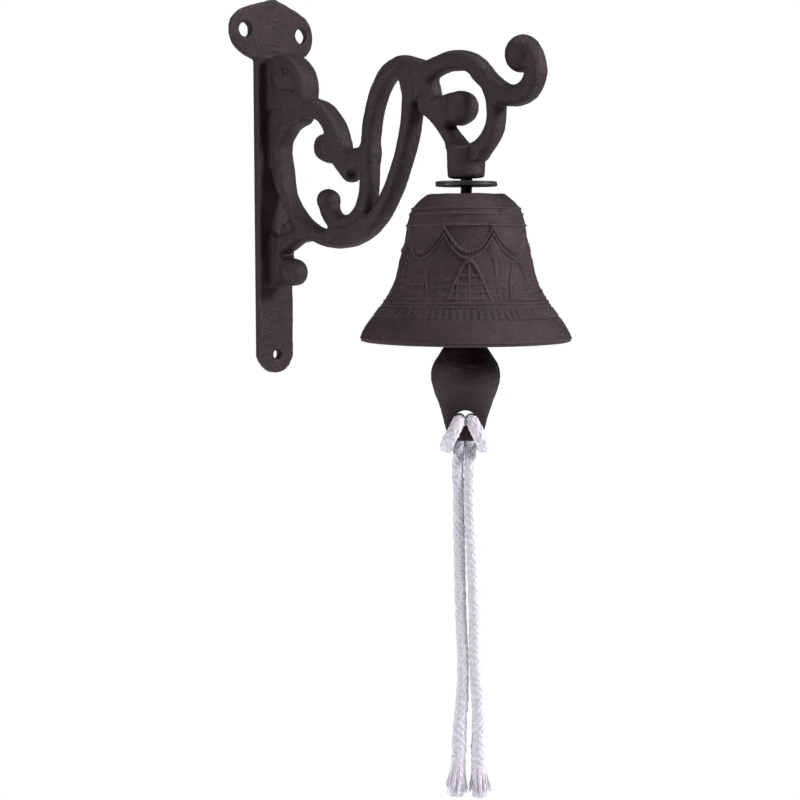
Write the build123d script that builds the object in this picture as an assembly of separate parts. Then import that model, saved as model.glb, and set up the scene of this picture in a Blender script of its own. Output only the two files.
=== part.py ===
from build123d import *
import math
import os

# Wall bell with a scroll bracket. Millimetres, +Z up, +X away from the wall, Y to the side.
# The origin is on the wall face, midway between the two upper screw holes.

# Wall plate
PLATE_EDGE_T = 3.4          # thickness at the outer edges of the ears
PLATE_MID_T = 5.5           # thickness along the middle ridge
EAR_HALF_W = 28.0           # half width over the two ears
STRIP_HALF_W = 11.4         # half width of the long strip
PLATE_TOP_Z = 17.8          # tip of the pointed head
PLATE_BOTTOM_Z = -182.8     # tip of the tail
EAR_HOLE_SPACING = 38.0     # between the two upper screw holes
EAR_HOLE_R = 4.0
TAIL_HOLE_Z = -172.8        # lower screw hole, under the scroll
TAIL_HOLE_R = 2.7

# Scroll: heights in the bar list are above this datum, which is level with the bell's waist
DATUM_Z = -113.0
HEAVY_T = 12.4              # bar thickness in Y at the top curl
BAND_T = 10.6               # the main band and the curls on it
LIGHT_T = 9.0               # the tall loop, the ring and the end curl
SMOOTH_STEPS = 4            # points made between two given points of a bar

# Hanging line: everything below the boss is centred on it
BELL_X = 147.4
HANG_TURN = 45.0            # the eyes and the clapper's tab are turned this far about Z
BOSS_TOP_R = 9.1
BOSS_BOTTOM_R = 8.5
BOSS_BOTTOM_Z = DATUM_Z + 31.1
BOSS_TOP_Z = DATUM_Z + 46.0

# Eye bolt
BOLT_R = 3.1                # plain upper shank
THREAD_R = 2.9              # lower shank, through the crown
BOLT_IN_BOSS = 12.0
THREAD_GAP = 0.03           # between a thread and its nut or hole, all in one body
EYE_WIRE_R = 2.0
EYE_R = 6.0                 # centre line of the eye
EYE_CENTRE_Z = DATUM_Z + 2.0

# Washers on the shank above the bell
WASHER_R = 14.6
WASHER_T = 1.1
WASHER_TOP_Z = DATUM_Z + 29.2

# Bell
MOUTH_R = 50.0
MOUTH_Z = DATUM_Z - 46.0
CROWN_Z = DATUM_Z + 23.3
CROWN_T = 5.0
CROWN_HOLE_R = 3.5
BODY_GAP = 0.4              # between parts that move past each other

# Support under the crown
SEAT_R = 9.0
SEAT_T = 1.6
NUT_FLATS = 10.0
NUT_T = 4.0
LOCK_NUT_T = 2.7

# Link and clapper
LINK_WIRE_R = 1.6
LINK_HALF_W = 5.0           # centre line to centre line is twice this
LINK_LENGTH = 15.0          # between the centre lines of its two ends
CLAPPER_EYE_R = 5.5
CLAPPER_EYE_WIRE_R = 2.0
TAB_T = 7.0
TAB_BOTTOM = -94.2          # heights on the clapper are above the datum
TAB_HOLE_W = 11.0
TAB_HOLE_TOP = -79.0
TAB_HOLE_BOTTOM = -87.2

# Pull rope
ROPE_D = 5.2
ARC_SHARE = 0.45            # share of the shorter run that an arc takes up

# Bars of the scroll: x, height above the datum, half width
BAND_BARS = [
    # the C against the plate, the low sweep and the riser of the tall loop
    [(9, 60, 5.2), (10.2, 44, 4.4), (13.4, 30, 3.7), (20.3, 18.8, 3.5), (29.5, 10.2, 3.6),
     (41.5, 4.7, 4.0), (56.5, 2.8, 4.8), (71.5, 5.1, 4.8), (84.6, 12, 4.3), (95.2, 23.6, 3.9),
     (103.3, 38.2, 3.7), (109.2, 54.8, 3.9), (111.6, 70, 4.3), (109.5, 80, 5.0)],
    # top of the C and the lobe
    [(8, 65, 4.6), (18, 70.3, 4.8), (30, 71.4, 4.8), (41.4, 69.9, 4.4), (50.1, 64.3, 4.2),
     (55.6, 56, 4.5), (57.4, 47, 5.0)],
    # corner between the C and the plate
    [(8.5, 55, 5.4), (13, 60.5, 5.6), (19, 64.6, 4.3), (27, 67.5, 4.6)],
    # curl inside the lobe
    [(57, 50, 5.5), (52.2, 48.7, 6.5), (48, 50, 6.6)],
    # bridge from the lobe to the tall loop, with its leaf tip
    [(58, 46, 5.0), (64, 42.8, 5.5), (72, 42.8, 5.7), (80, 45, 5.0)],
    [(62, 42, 4.8), (66.4, 34.2, 2.4)],
    # knob inside the ring
    [(123, 66, 5.0), (130, 64.3, 5.2), (137.6, 64, 6.7), (144.6, 63.8, 7.3)],
    # web and curl against the plate, under the low sweep
    [(3, 0, 4.6), (9, 0, 4.5), (15, 1.0, 5.0), (25, 4.6, 3.8), (34, 5.2, 3.4)],
    [(4, -9, 6.4), (8, -10, 6.6), (12.5, -13.6, 7.1), (19.6, -15, 7.1)],
    [(8, -1, 4.8), (9.8, -6.5, 5.0), (8, -16, 6.0)],
]
LIGHT_BARS = [
    # top of the tall loop, down its inner side and round to the low curl
    [(113, 85, 4.6), (104, 87, 4.6), (94.4, 83.4, 4.6), (87.2, 74.5, 4.3), (82.7, 63, 4.2),
     (80.7, 50, 4.2), (80.2, 38, 4.4), (79.2, 26, 4.5), (75, 16, 4.7), (67, 10.4, 4.8),
     (58, 10.3, 4.7), (50.8, 15.0, 4.6), (47.8, 22.9, 4.9)],
    # ring over the boss
    [(108, 84.5, 5.0), (113, 84.6, 5.0), (121, 82.6, 4.9), (130, 84.8, 4.4), (139.4, 86, 4.5),
     (149.8, 84.4, 4.3), (158.4, 78.4, 4.2), (164.4, 70.4, 4.1), (166.6, 60, 3.8),
     (164.2, 51, 3.9), (158.2, 44.9, 4.3), (150, 41, 5.0)],
    [(118.4, 80, 6.6), (121.8, 72, 6.2), (126.6, 63.5, 4.4), (133.4, 56, 3.5),
     (139.4, 49.2, 3.8), (145, 43, 5.0)],
    # end curl
    [(156.3, 79.3, 4.2), (164.4, 73, 4.4), (172.5, 67.9, 4.6), (180.5, 66.9, 4.6),
     (187.0, 69.8, 4.7), (190.0, 76.2, 4.6), (188.2, 83.2, 5.0), (184.5, 87, 5.4)],
    [(185, 86, 6.0), (181.6, 85.2, 7.3)],
]
HEAVY_BARS = [
    [(3, 94, 3.5), (14, 97, 3.2), (22.5, 95, 3.3), (29, 88.6, 3.3), (31, 80, 3.3), (29.5, 73.5, 3.6)],
    [(3, 86, 5.8), (7, 86.3, 6.0), (12.6, 87.5, 6.4)],
    [(3, 77, 5.0), (10, 77, 5.0), (19, 76.6, 4.8), (27, 76, 4.0)],
]

# Outside of the bell: height above the datum, radius
BELL_OUTSIDE = [
    (20.4, 22.0), (17.6, 24.6), (15.2, 26.0), (9.0, 27.9), (1.4, 29.0), (-6.1, 30.6),
    (-13.7, 32.4), (-21.2, 35.2), (-28.7, 40.0), (-36.3, 45.6), (-41.0, 48.4),
]
# Inside of the bell, from the mouth up
BELL_INSIDE = [
    (-46.0, 46.2), (-40.0, 43.6), (-34.0, 39.0), (-26.0, 33.4), (-18.0, 29.4), (-8.0, 26.4),
    (4.0, 24.2), (13.0, 21.6),
]
# Round part of the clapper: height above the datum, radius
CLAPPER_PROFILE = [
    (-21.6, 3.6), (-32.0, 4.1), (-39.0, 5.0), (-44.5, 7.2), (-49.0, 10.4), (-53.5, 13.2),
    (-57.5, 15.8), (-61.5, 16.5), (-65.5, 16.1), (-70.0, 13.4), (-75.0, 8.4), (-79.5, 4.2),
]
# Half outline of the clapper's tab, seen square on: half width, height above the datum
TAB_OUTLINE = [
    (16.1, -65.5), (15.4, -69.0), (14.2, -72.6), (12.8, -76.0), (11.3, -81.0), (10.2, -85.6), (9.2, -89.0),
    (7.2, -92.2),
]
# Route of one half of the pull rope, about the hanging line, before the turn about Z:
# sideways, front to back, height above the datum. It starts at the middle of the bight,
# behind the legs, goes round the tab, up its front, back through the hole and down.
BIGHT_ROUTE = [
    (0.0, 12.2, -97.0), (4.2, 12.2, -97.1), (7.5, 10.0, -97.2), (8.8, 5.7, -97.2), (8.6, 0.1, -97.1),
    (8.2, -7.4, -93.8), (3.0, -8.2, -83.9), (2.8, 7.6, -83.9), (2.8, 7.4, -98.0),
]
LEFT_LEG = [
    (-3.7, 1.6, -108.0), (-2.9, 1.0, -122.0), (-2.7, 1.2, -146.0), (-1.7, 0.4, -180.0),
    (-0.1, 0.9, -212.0), (-2.2, 0.2, -236.0), (-2.6, 0.6, -256.0), (-3.6, 0.2, -270.0),
]
RIGHT_LEG = [
    (2.4, 0.6, -108.0), (1.8, -1.0, -124.0), (3.2, -0.5, -146.0), (4.8, -1.0, -176.0),
    (5.1, 0.2, -204.0), (7.4, -0.3, -228.0), (7.0, 0.4, -250.0), (8.0, 0.2, -270.0),
]


def smooth(points):
    """Catmull-Rom points through the given ones."""
    ends = [points[0]] + list(points) + [points[-1]]
    result = []
    for i in range(1, len(ends) - 2):
        for step in range(SMOOTH_STEPS):
            t = step / SMOOTH_STEPS
            weights = (
                -0.5 * t + t ** 2 - 0.5 * t ** 3,
                1 - 2.5 * t ** 2 + 1.5 * t ** 3,
                0.5 * t + 2 * t ** 2 - 1.5 * t ** 3,
                -0.5 * t ** 2 + 0.5 * t ** 3,
            )
            four = ends[i - 1:i + 3]
            result.append(tuple(sum(w * p[k] for w, p in zip(weights, four)) for k in range(3)))
    return result + [tuple(points[-1])]


def bar_face(points):
    """A bar of changing width with two round ends, drawn flat on XY."""
    line = smooth(points)
    left, right = [], []
    for i, (x, z, half) in enumerate(line):
        before, after = line[max(i - 1, 0)], line[min(i + 1, len(line) - 1)]
        dx, dz = after[0] - before[0], after[1] - before[1]
        size = math.hypot(dx, dz)
        left.append((x - dz / size * half, z + dx / size * half))
        right.append((x + dz / size * half, z - dx / size * half))
    outline = [Spline(*left), Line(left[-1], right[-1]), Spline(*right), Line(right[0], left[0])]
    face = make_face(outline)
    for x, z, half in (line[0], line[-1]):
        face += Pos(x, z) * Circle(half)
    return face


def scroll_bars(bars, thickness):
    """A group of bars joined flat, then made thick, standing in the XZ plane."""
    flat = bar_face(bars[0])
    for bar in bars[1:]:
        flat += bar_face(bar)
    return Pos(0, 0, DATUM_Z) * Rot(90, 0, 0) * extrude(flat, thickness / 2, both=True)


def wall_plate():
    """Flat-backed plate with a pointed two-eared head, a low middle ridge and three holes."""
    under_ear = (STRIP_HALF_W, -15.2)
    tail_start = (STRIP_HALF_W, PLATE_BOTTOM_Z + 8.5)
    head = Spline((0, PLATE_TOP_Z), (7.4, 15.1), (17.6, 11.9), (25.6, 6.6), (EAR_HALF_W, 0),
                  (26.0, -7), (20.4, -11.8), under_ear)
    tail = Spline(tail_start, (9, PLATE_BOTTOM_Z + 4.6), (5, PLATE_BOTTOM_Z + 1.3), (0, PLATE_BOTTOM_Z))
    half = [head, Line(under_ear, tail_start), tail, Line((0, PLATE_BOTTOM_Z), (0, PLATE_TOP_Z))]
    right = make_face(half)
    outline = right + mirror(right, Plane.YZ)
    upright = Plane(origin=(0, 0, 0), x_dir=(0, 1, 0), z_dir=(1, 0, 0))
    slab = extrude(upright * outline, 2 * PLATE_MID_T)
    reach = EAR_HALF_W + 4
    slope = (PLATE_MID_T - PLATE_EDGE_T) / EAR_HALF_W
    thin = PLATE_MID_T - slope * reach
    roof = Polygon((0, -reach), (thin, -reach), (PLATE_MID_T, 0), (thin, reach), (0, reach), align=None)
    length = PLATE_TOP_Z - PLATE_BOTTOM_Z + 10
    plate = slab & (Pos(0, 0, PLATE_BOTTOM_Z - 5) * extrude(roof, length))
    for y, z, radius in screw_holes():
        plate -= Pos(0, y, z) * Rot(0, 90, 0) * Cylinder(radius, 4 * PLATE_MID_T)
    return plate


def screw_holes():
    """Y, Z and radius of each screw hole in the plate."""
    side = EAR_HOLE_SPACING / 2
    return [(-side, 0, EAR_HOLE_R), (side, 0, EAR_HOLE_R), (0, TAIL_HOLE_Z, TAIL_HOLE_R)]


def wall_bracket():
    """One casting: plate, scroll and the boss that holds the eye bolt."""
    bracket = wall_plate()
    scroll = scroll_bars(BAND_BARS, BAND_T) + scroll_bars(LIGHT_BARS, LIGHT_T)
    scroll += scroll_bars(HEAVY_BARS, HEAVY_T)
    in_front = Pos(PLATE_EDGE_T / 2 + 150, 0, -60) * Box(300, 60, 300)
    bracket += scroll & in_front
    height = BOSS_TOP_Z - BOSS_BOTTOM_Z
    boss = Pos(BELL_X, 0, BOSS_BOTTOM_Z + height / 2) * Cone(BOSS_BOTTOM_R, BOSS_TOP_R, height)
    bracket += boss
    depth = BOLT_IN_BOSS + 1
    bracket -= Pos(BELL_X, 0, BOSS_BOTTOM_Z + depth / 2) * Cylinder(BOLT_R + THREAD_GAP, depth)
    return bracket


def on_line(shape):
    """Put a part that was made about the Z axis on the hanging line, with its turn."""
    return Pos(BELL_X, 0, 0) * Rot(0, 0, HANG_TURN) * shape


def hanger_eye_bolt():
    """Bolt screwed into the boss; its eye hangs inside the bell."""
    top = BOSS_BOTTOM_Z + BOLT_IN_BOSS
    step = WASHER_TOP_Z
    foot = EYE_CENTRE_Z + EYE_R
    upper = Pos(0, 0, (top + step) / 2) * Cylinder(BOLT_R, top - step)
    lower = Pos(0, 0, (step + foot) / 2) * Cylinder(THREAD_R, step - foot)
    eye = Pos(0, 0, EYE_CENTRE_Z) * Rot(90, 0, 0) * Torus(EYE_R, EYE_WIRE_R)
    return on_line(upper + lower + eye)


def ring(radius, hole, thickness, top):
    """Flat round washer, by its top face."""
    disc = Cylinder(radius, thickness) - Cylinder(hole, thickness * 2)
    return on_line(Pos(0, 0, top - thickness / 2) * disc)


def nut(thickness, top):
    """Hexagon nut, by its top face."""
    flat = RegularPolygon(NUT_FLATS / 2, 6, major_radius=False) - Circle(THREAD_R + THREAD_GAP)
    return on_line(Pos(0, 0, top - thickness) * extrude(flat, thickness))


def bell():
    """Turned shell: flat crown with a hole, steep waist and a flared lip."""
    inside_top = CROWN_Z - CROWN_T
    outside = [(r, DATUM_Z + z) for z, r in BELL_OUTSIDE]
    inside = [(r, DATUM_Z + z) for z, r in BELL_INSIDE]
    crown_edge = (18.4, CROWN_Z)
    mouth_out = (MOUTH_R, MOUTH_Z + 1.6)
    lip = (MOUTH_R - 0.8, MOUTH_Z)
    inner_crown = (16.0, inside_top)
    outline = [
        Line((CROWN_HOLE_R, CROWN_Z), crown_edge),
        Spline(crown_edge, *outside, mouth_out),
        Line(mouth_out, lip),
        Line(lip, inside[0]),
        Spline(*inside, inner_crown),
        Line(inner_crown, (CROWN_HOLE_R, inside_top)),
        Line((CROWN_HOLE_R, inside_top), (CROWN_HOLE_R, CROWN_Z)),
    ]
    section = Plane.XZ * make_face(outline)
    return Pos(BELL_X, 0, 0) * revolve(section, Axis.Z)


def clapper_link():
    """Closed wire link between the bolt's eye and the clapper's eye."""
    top = EYE_CENTRE_Z - EYE_R + EYE_WIRE_R + BODY_GAP + LINK_WIRE_R
    straight = LINK_LENGTH - 2 * LINK_HALF_W
    track = SlotCenterToCenter(straight, 2 * LINK_HALF_W).face().outer_wire()
    middle = Plane(origin=(0, 0, top - LINK_LENGTH / 2), x_dir=(0, 0, 1), z_dir=(1, 0, 0))
    path = middle * track
    start = Plane(origin=path @ 0, z_dir=path % 0)
    return on_line(sweep(start * Circle(LINK_WIRE_R), path=path))


def link_bottom_z():
    """Centre line of the link's lower end."""
    return EYE_CENTRE_Z - EYE_R + EYE_WIRE_R + BODY_GAP + LINK_WIRE_R - LINK_LENGTH


def clapper():
    """One casting: eye, shank, bulb and a flat tab with a hole for the rope."""
    eye_top = link_bottom_z() + LINK_WIRE_R + BODY_GAP + CLAPPER_EYE_WIRE_R
    eye = Pos(0, 0, eye_top - CLAPPER_EYE_R) * Rot(90, 0, 0) * Torus(CLAPPER_EYE_R, CLAPPER_EYE_WIRE_R)
    profile = [(r, DATUM_Z + z) for z, r in CLAPPER_PROFILE]
    top, foot = profile[0], profile[-1]
    outline = [
        Line((0, top[1]), top),
        Spline(*profile),
        Line(foot, (0, foot[1])),
        Line((0, foot[1]), (0, top[1])),
    ]
    bulb = revolve(Plane.XZ * make_face(outline), Axis.Z)
    return on_line(eye + bulb + rope_tab())


def rope_tab():
    """Flat tab under the bulb, rounded at the bottom, with an arched hole."""
    sides = [(half, DATUM_Z + z) for half, z in TAB_OUTLINE]
    bottom = DATUM_Z + TAB_BOTTOM
    corner = (sides[-1][0] - 2.8, bottom)
    right = [
        Line((0, sides[0][1]), sides[0]),
        Spline(*sides, corner),
        Line(corner, (0, bottom)),
        Line((0, bottom), (0, sides[0][1])),
    ]
    half_face = make_face(right)
    face = half_face + mirror(half_face, Plane.YZ)
    radius = TAB_HOLE_W / 2
    middle = DATUM_Z + TAB_HOLE_TOP - radius
    low = DATUM_Z + TAB_HOLE_BOTTOM
    face -= Pos(0, middle) * Circle(radius) & Pos(0, (middle + radius + low) / 2) * Rectangle(
        TAB_HOLE_W, middle + radius - low)
    return Rot(90, 0, 0) * extrude(face, TAB_T / 2, both=True)


def rope_half(leg, side):
    """A round tube along the route: straight runs joined by arcs as large as the runs allow."""
    bight = [(side * x, y, z) for x, y, z in BIGHT_ROUTE]
    points = [Vector(x, y, DATUM_Z + z) for x, y, z in bight + leg]
    radii = []
    for before, here, after in zip(points, points[1:], points[2:]):
        shorter = min((here - before).length, (after - here).length)
        turn = math.radians((here - before).get_angle(after - here))
        radii.append(ARC_SHARE * shorter / math.tan(turn / 2))
    path = FilletPolyline(*points, radius=radii)
    tube = sweep(Plane(origin=path @ 0, z_dir=path % 0) * Circle(ROPE_D / 2), path=path)
    expected = path.length * math.pi * ROPE_D ** 2 / 4
    print("rope half: length", round(path.length, 1), "volume", round(tube.volume), "expected", round(expected))
    print("  arc radii", [round(radius, 1) for radius in radii])
    return on_line(tube)


def main():
    os.makedirs("parts", exist_ok=True)
    seat_top = CROWN_Z - CROWN_T - BODY_GAP
    shapes = {
        "wall_bracket": wall_bracket(),
        "hanger_eye_bolt": hanger_eye_bolt(),
        "upper_washer": ring(WASHER_R, THREAD_R + THREAD_GAP, WASHER_T, WASHER_TOP_Z),
        "lower_washer": ring(WASHER_R, THREAD_R + THREAD_GAP, WASHER_T, WASHER_TOP_Z - WASHER_T),
        "bell": bell(),
        "crown_seat_washer": ring(SEAT_R, THREAD_R + THREAD_GAP, SEAT_T, seat_top),
        "support_nut": nut(NUT_T, seat_top - SEAT_T),
        "lock_nut": nut(LOCK_NUT_T, seat_top - SEAT_T - NUT_T),
        "clapper_link": clapper_link(),
        "clapper": clapper(),
        "pull_rope_left": rope_half(LEFT_LEG, -1),
        "pull_rope_right": rope_half(RIGHT_LEG, 1),
    }
    for name, shape in shapes.items():
        export_step(shape, f"parts/{name}.step")


main()
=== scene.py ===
import math
import random

import bpy
import numpy as np
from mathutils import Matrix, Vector
from mathutils.kdtree import KDTree


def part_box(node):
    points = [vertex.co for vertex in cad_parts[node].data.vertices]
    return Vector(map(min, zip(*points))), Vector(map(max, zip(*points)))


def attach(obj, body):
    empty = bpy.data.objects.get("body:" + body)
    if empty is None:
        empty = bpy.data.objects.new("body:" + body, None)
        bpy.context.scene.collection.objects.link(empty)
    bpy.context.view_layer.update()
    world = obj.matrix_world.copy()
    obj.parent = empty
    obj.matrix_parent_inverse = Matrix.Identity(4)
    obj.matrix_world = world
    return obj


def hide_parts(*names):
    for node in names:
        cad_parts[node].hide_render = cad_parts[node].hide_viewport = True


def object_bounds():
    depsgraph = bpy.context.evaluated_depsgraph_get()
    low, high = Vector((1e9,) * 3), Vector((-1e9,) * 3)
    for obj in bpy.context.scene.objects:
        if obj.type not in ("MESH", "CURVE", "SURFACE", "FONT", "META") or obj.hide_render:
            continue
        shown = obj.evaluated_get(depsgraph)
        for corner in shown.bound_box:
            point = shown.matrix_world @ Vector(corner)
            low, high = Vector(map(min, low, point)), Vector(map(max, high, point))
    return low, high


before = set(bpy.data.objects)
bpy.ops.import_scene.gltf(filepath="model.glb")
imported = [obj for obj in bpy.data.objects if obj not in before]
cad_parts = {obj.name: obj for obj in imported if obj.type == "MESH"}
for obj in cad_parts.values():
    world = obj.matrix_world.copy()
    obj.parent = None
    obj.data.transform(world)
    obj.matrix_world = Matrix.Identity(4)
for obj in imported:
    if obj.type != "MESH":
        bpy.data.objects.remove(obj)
cad_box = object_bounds()

MM = 0.001
bell_low, bell_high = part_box("bell")
LINE_X = (bell_low.x + bell_high.x) / 2          # the hanging line, in the plane y = 0
DATUM = bell_low.z + 46 * MM                     # heights below are counted from the bell's waist
VIEW_TURN = math.radians(46.4)                   # the camera looks along this azimuth
HANG_TURN = math.radians(45)                     # the clapper's tab faces this way


# ---------------------------------------------------------------- plain helpers

def place(x, y, z):
    """A point of the scroll: x from the wall, y to the side, z over the datum, all in mm."""
    return Vector((x * MM, y * MM, DATUM + z * MM))


def on_line(side, depth, z):
    """A point near the hanging line in mm: sideways and away from the camera, before the turn."""
    c, s = math.cos(HANG_TURN), math.sin(HANG_TURN)
    return Vector((LINE_X + (side * c - depth * s) * MM, (side * s + depth * c) * MM, DATUM + z * MM))


def height_of(node):
    """Lowest and highest point of a node over the datum, in mm."""
    low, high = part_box(node)
    return (low.z - DATUM) / MM, (high.z - DATUM) / MM


def lattice(cells, seed):
    """A repeatable random value from -1 to 1 for each whole-number cell."""
    h = cells[:, 0] * 73856093 ^ cells[:, 1] * 19349663 ^ cells[:, 2] * 83492791 ^ seed * 2654435761
    h = (h ^ h >> 13) * 1274126177 & 0xFFFFFFFF
    return ((h ^ h >> 16) & 0xFFFF) / 32767.5 - 1


def noise(points, size, seed=0):
    """Smooth noise from -1 to 1 with bumps of the given size."""
    q = np.asarray(points, float) / size
    cell = np.floor(q).astype(np.int64)
    f = q - cell
    f = f * f * (3 - 2 * f)
    total = np.zeros(len(q))
    for corner in np.ndindex(2, 2, 2):
        weight = np.prod(np.where(np.array(corner) == 1, f, 1 - f), axis=1)
        total += weight * lattice(cell + np.array(corner), seed)
    return total


def curve_through(points, samples):
    """Points on a smooth line through the given ones, evenly spaced (Catmull-Rom)."""
    p = np.array(points, float)
    p = np.vstack([2 * p[0] - p[1], p, 2 * p[-1] - p[-2]])
    dense = []
    for i in range(1, len(p) - 2):
        t = np.linspace(0, 1, 40, endpoint=False)[:, None]
        a, b, c, d = p[i - 1:i + 3]
        dense.append(0.5 * (2 * b + (c - a) * t + (2 * a - 5 * b + 4 * c - d) * t ** 2
                            + (3 * b - a - 3 * c + d) * t ** 3))
    dense = np.vstack(dense + [p[-2:-1]])
    return resample(dense, samples)


def resample(points, samples):
    """The same line with evenly spaced points."""
    steps = np.linalg.norm(np.diff(points, axis=0), axis=1)
    along = np.concatenate([[0], np.cumsum(steps)])
    even = np.linspace(0, along[-1], samples)
    return np.stack([np.interp(even, along, points[:, k]) for k in range(points.shape[1])], axis=1)


def step(value, low, high):
    """0 below low, 1 above high, smooth between. Low may be the higher one."""
    t = np.clip((value - low) / (high - low), 0, 1)
    return t * t * (3 - 2 * t)


def bump(value, middle, half):
    """A rounded ridge of height 1 and the given half width."""
    t = np.clip(1 - ((value - middle) / half) ** 2, 0, 1)
    return t * t


def mesh_object(name, points, faces):
    """A mesh in the scene, with no material or body yet."""
    mesh = bpy.data.meshes.new(name)
    mesh.from_pydata(np.asarray(points, float).tolist(), [], faces)
    mesh.update()
    piece = bpy.data.objects.new(name, mesh)
    bpy.context.scene.collection.objects.link(piece)
    return piece


def discard(piece):
    """Takes a helper mesh out of the scene."""
    mesh = piece.data
    bpy.data.objects.remove(piece)
    bpy.data.meshes.remove(mesh)


def new_piece(name, points, faces, material, body, nodes=()):
    """A smooth mesh piece that rides on a body and may stand for CAD nodes."""
    piece = mesh_object(name, points, faces)
    piece.data.polygons.foreach_set("use_smooth", [True] * len(faces))
    piece.data.materials.append(material)
    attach(piece, body)
    if nodes:
        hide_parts(*nodes)
    return piece


def grid_faces(rows, columns, loop):
    """Quads between rings of points, from the first ring to the last, or round to the first."""
    r = np.arange(rows if loop else rows - 1)[:, None]
    c = np.arange(columns)[None, :]
    right = (c + 1) % columns
    below = (r + 1) % rows
    upper, lower = r * columns, below * columns
    quads = np.stack([upper + c, upper + right, lower + right, lower + c], axis=2)
    return quads.reshape(-1, 4).tolist()


def turned_loop(outline, columns, reshape=None):
    """A closed outline of (radius, z) in mm turned about the hanging line; reshape changes it by angle."""
    outline = np.array(outline, float)
    angles = np.linspace(0, 2 * math.pi, columns, endpoint=False)
    radius = np.repeat(outline[:, 0:1], columns, axis=1)
    height = np.repeat(outline[:, 1:2], columns, axis=1)
    turn = np.repeat(angles[None, :], len(outline), axis=0)
    if reshape:
        radius, height = reshape(radius, height, turn)
    x = LINE_X + radius * np.cos(turn) * MM
    y = radius * np.sin(turn) * MM
    z = DATUM + height * MM
    return np.stack([x, y, z], axis=2).reshape(-1, 3)


def tube(path, radii, sides, turn=0.0):
    """Points and faces of a closed round tube along a path, in metres."""
    side, up = carried_frames(path)
    angles = turn + np.linspace(0, 2 * math.pi, sides, endpoint=False)
    rim = side[:, None, :] * np.cos(angles)[None, :, None] + up[:, None, :] * np.sin(angles)[None, :, None]
    points = (path[:, None, :] + rim * np.asarray(radii)[:, None, None]).reshape(-1, 3)
    faces = grid_faces(len(path), sides, False)
    faces.append(list(range(sides - 1, -1, -1)))
    faces.append(list(range(len(points) - sides, len(points))))
    return points, faces


def carried_frames(path):
    """Two directions across a path at each point, carried along it without twist."""
    tangent = np.gradient(path, axis=0)
    tangent /= np.linalg.norm(tangent, axis=1)[:, None]
    start = np.cross(tangent[0], (0.3, 0.2, 0.9))
    if np.linalg.norm(start) < 0.1:
        start = np.cross(tangent[0], (1.0, 0.0, 0.0))
    side = np.empty_like(path)
    side[0] = start / np.linalg.norm(start)
    for i in range(1, len(path)):
        carried = side[i - 1] - tangent[i] * (side[i - 1] @ tangent[i])
        side[i] = carried / np.linalg.norm(carried)
    return side, np.cross(tangent, side)


def merged(parts):
    """One list of points and faces from several."""
    points, faces, count = [], [], 0
    for p, f in parts:
        points.append(p)
        faces.extend([[i + count for i in face] for face in f])
        count += len(p)
    return np.vstack(points), faces


# ---------------------------------------------------------------- materials

def node_maker(name):
    """An empty node material, and short calls that add nodes and links to it."""
    material = bpy.data.materials.new(name)
    material.use_nodes = True
    tree = material.node_tree
    shader = tree.nodes["Principled BSDF"]
    coords = tree.nodes.new("ShaderNodeTexCoord").outputs["Object"]

    def link(a, b):
        tree.links.new(a, b)

    def noise_node(size, detail=3.0, roughness=0.6):
        n = tree.nodes.new("ShaderNodeTexNoise")
        n.inputs["Scale"].default_value = 1 / size
        n.inputs["Detail"].default_value = detail
        n.inputs["Roughness"].default_value = roughness
        link(coords, n.inputs["Vector"])
        return n.outputs["Fac"]

    def ramp(source, *stops):
        n = tree.nodes.new("ShaderNodeValToRGB")
        elements = n.color_ramp.elements
        elements[0].position, elements[0].color = stops[0][0], (*stops[0][1], 1)
        elements[1].position, elements[1].color = stops[-1][0], (*stops[-1][1], 1)
        for position, colour in stops[1:-1]:
            elements.new(position).color = (*colour, 1)
        link(source, n.inputs["Fac"])
        return n.outputs["Color"]

    def mix(factor, a, b, blend="MIX"):
        n = tree.nodes.new("ShaderNodeMix")
        n.data_type, n.blend_type = "RGBA", blend
        for socket, value in ((n.inputs["Factor"], factor), (n.inputs[6], a), (n.inputs[7], b)):
            if isinstance(value, bpy.types.NodeSocket):
                link(value, socket)
            else:
                socket.default_value = value if isinstance(value, float) else (*value, 1)
        return n.outputs[2]

    def bumps(*layers):
        normal = None
        for height, distance in layers:
            n = tree.nodes.new("ShaderNodeBump")
            n.inputs["Strength"].default_value = 1.0
            n.inputs["Distance"].default_value = distance
            link(height, n.inputs["Height"])
            if normal:
                link(normal, n.inputs["Normal"])
            normal = n.outputs["Normal"]
        link(normal, shader.inputs["Normal"])

    return material, tree, shader, link, noise_node, ramp, mix, bumps


def cast_iron(name, dark, light, worn, grain):
    """Sand-cast iron under a thin brown-black patina, greyer on its convex edges: partly rubbed wear, partly
    a painted highlight.
    """
    material, tree, shader, link, noise_node, ramp, mix, bumps = node_maker(name)
    cloud = noise_node(14 * MM, 4, 0.62)
    sand = noise_node(grain, 3, 0.7)
    pits = noise_node(0.35 * grain, 2, 0.6)
    patina = ramp(cloud, (0.32, dark), (0.68, light))
    speckle = ramp(sand, (0.36, (0.72, 0.70, 0.70)), (0.66, (1.32, 1.28, 1.30)))
    skin = mix(1.0, patina, speckle, "MULTIPLY")
    geometry = tree.nodes.new("ShaderNodeNewGeometry")
    # Convex edges take the lighter worn colour: partly rubbed wear, partly a painted highlight where light
    # catches the edges.
    edge = ramp(geometry.outputs["Pointiness"], (0.505, (0, 0, 0)), (0.56, (0.75, 0.75, 0.75)))
    rub_and_highlight = mix(1.0, edge, ramp(sand, (0.35, (0.25, 0.25, 0.25)), (0.65, (1, 1, 1))), "MULTIPLY")
    link(mix(rub_and_highlight, skin, worn), shader.inputs["Base Color"])
    link(ramp(sand, (0.35, (0.56,) * 3), (0.65, (0.36,) * 3)), shader.inputs["Roughness"])
    shader.inputs["Metallic"].default_value = 0.0
    shader.inputs["Specular IOR Level"].default_value = 0.38
    shader.inputs["Specular Tint"].default_value = (1.0, 0.86, 0.92, 1)
    bumps((sand, 0.55 * MM), (pits, 0.16 * MM))
    return material


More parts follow.
